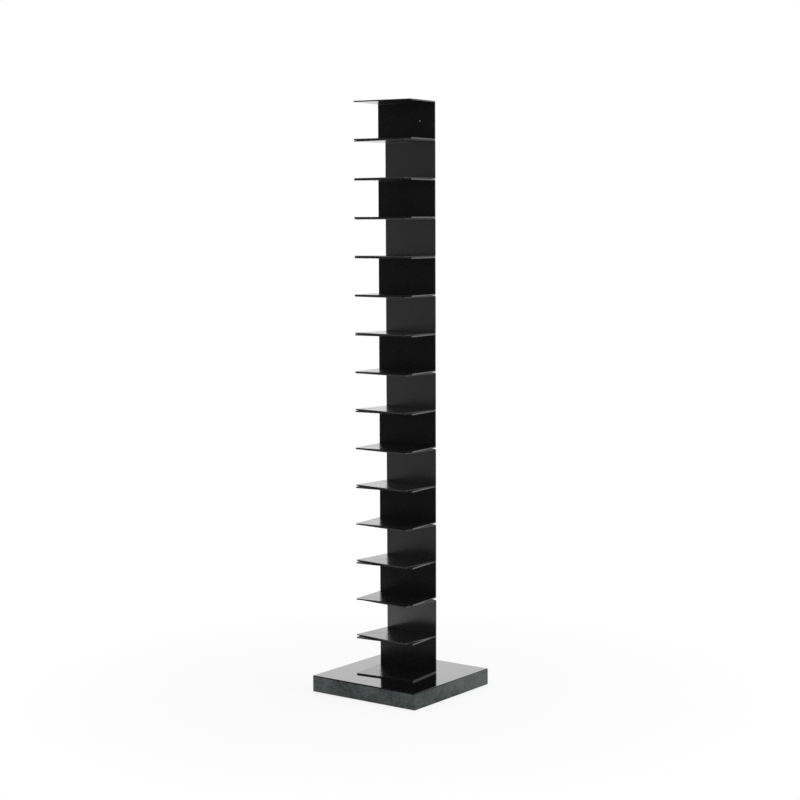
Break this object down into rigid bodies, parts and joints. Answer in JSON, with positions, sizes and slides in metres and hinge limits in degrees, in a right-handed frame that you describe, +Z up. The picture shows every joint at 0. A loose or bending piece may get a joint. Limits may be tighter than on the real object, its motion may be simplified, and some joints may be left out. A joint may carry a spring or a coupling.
{
  "type": "spine bookshelf",
  "caption": "Free-standing column of folded black steel shelf modules, each open at the front and both sides, on a heavy square stone slab; holds a stack of things laid flat.",
  "frame": {"origin": "on the floor, under the middle of the square slab", "axes": "+Z up along the column, +Y to the back where the webs are, +X to the right seen from the front"},
  "size_m": [0.345, 0.345, 1.6],
  "materials": {
    "black_paint": "smooth semi-gloss black powder coat on folded steel sheet",
    "black_stone": "black stone, polished on top, honed and finely mottled on the sides",
    "black_fixings": "black oxide steel",
    "rubber_pads": "matt black"
  },
  "bodies": {
    "root": {"shelf_module_01": "black_paint", "shelf_module_02": "black_paint", "shelf_module_03": "black_paint", "shelf_module_04": "black_paint", "shelf_module_05": "black_paint", "shelf_module_06": "black_paint", "shelf_module_07": "black_paint", "shelf_module_08": "black_paint", "shelf_module_09": "black_paint", "shelf_module_10": "black_paint", "shelf_module_11": "black_paint", "shelf_module_12": "black_paint", "shelf_module_13": "black_paint", "shelf_module_14": "black_paint", "shelf_module_15": "black_paint", "base_slab": "black_stone", "base_studs": "black_fixings", "base_washers": "black_fixings", "base_nuts": "black_fixings", "foot_pads": "rubber_pads"}
  },
  "joints": []
}
